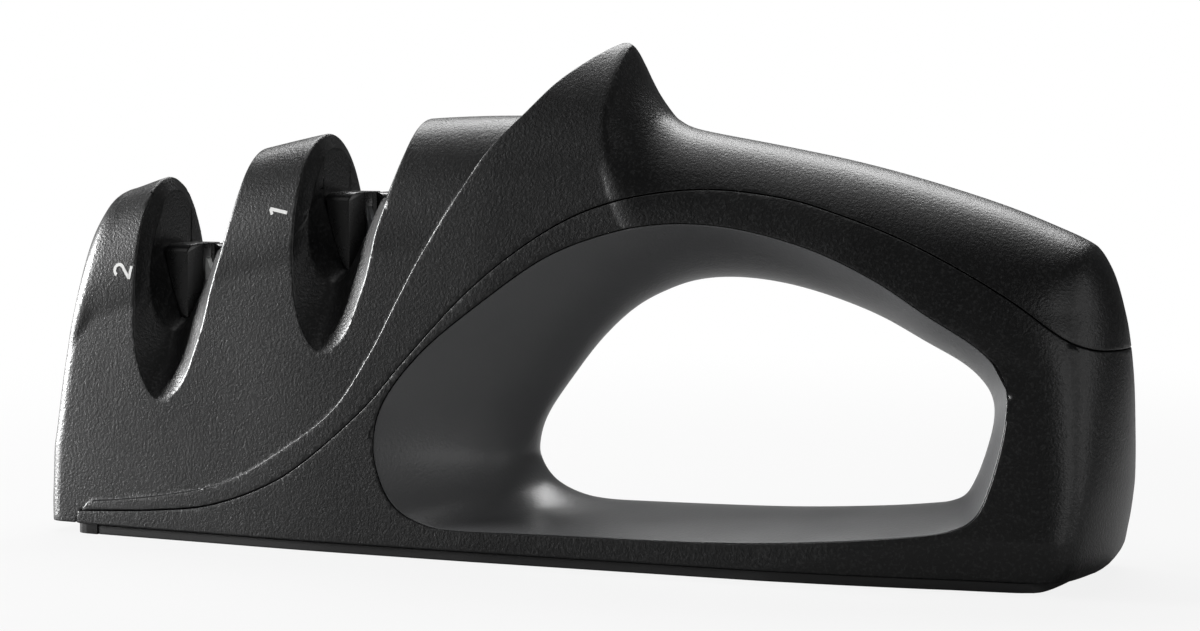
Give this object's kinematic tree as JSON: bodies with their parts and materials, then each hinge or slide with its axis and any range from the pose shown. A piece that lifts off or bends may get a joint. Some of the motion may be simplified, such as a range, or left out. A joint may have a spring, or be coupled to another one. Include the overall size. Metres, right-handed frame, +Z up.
{
  "type": "pull through knife sharpener",
  "caption": "Hand-held pull through knife sharpener: loop handle with a soft liner, fine and coarse blade slots with crossed abrasive plates, rubber-padded base.",
  "frame": {"origin": "centre of the underside, on the surface the part stands on, under the middle of its length and width", "axes": "+X from the nose with the blade slots towards the rear end of the handle, +Y across the body, -Y the side seen in the picture, +Z up"},
  "size_m": [0.1995, 0.0476, 0.0895],
  "materials": {
    "housing_plastic": "fine textured near-black plastic",
    "cartridge_plastic": "smooth black plastic",
    "liner_rubber": "soft satin grey rubber",
    "pad_rubber": "matt black rubber",
    "ceramic": "fine light grey ceramic",
    "carbide": "ground dark grey carbide",
    "screw_steel": "plated steel"
  },
  "bodies": {
    "root": {"upper_housing": "housing_plastic", "lower_housing": "housing_plastic", "base_plate": "cartridge_plastic", "cartridge_carrier": "cartridge_plastic", "fine_holder_near": "cartridge_plastic", "fine_holder_far": "cartridge_plastic", "coarse_holder_near": "cartridge_plastic", "coarse_holder_far": "cartridge_plastic", "grip_liner": "liner_rubber", "rubber_pad": "pad_rubber", "fine_plate_left": "ceramic", "fine_plate_right": "ceramic", "coarse_blade_left": "carbide", "coarse_blade_right": "carbide", "base_plate_screws": "screw_steel", "head_screws": "screw_steel", "body_screws": "screw_steel", "rear_screws": "screw_steel", "carrier_screws": "screw_steel", "fine_clamp_screws": "screw_steel", "coarse_clamp_screws": "screw_steel"}
  },
  "joints": []
}
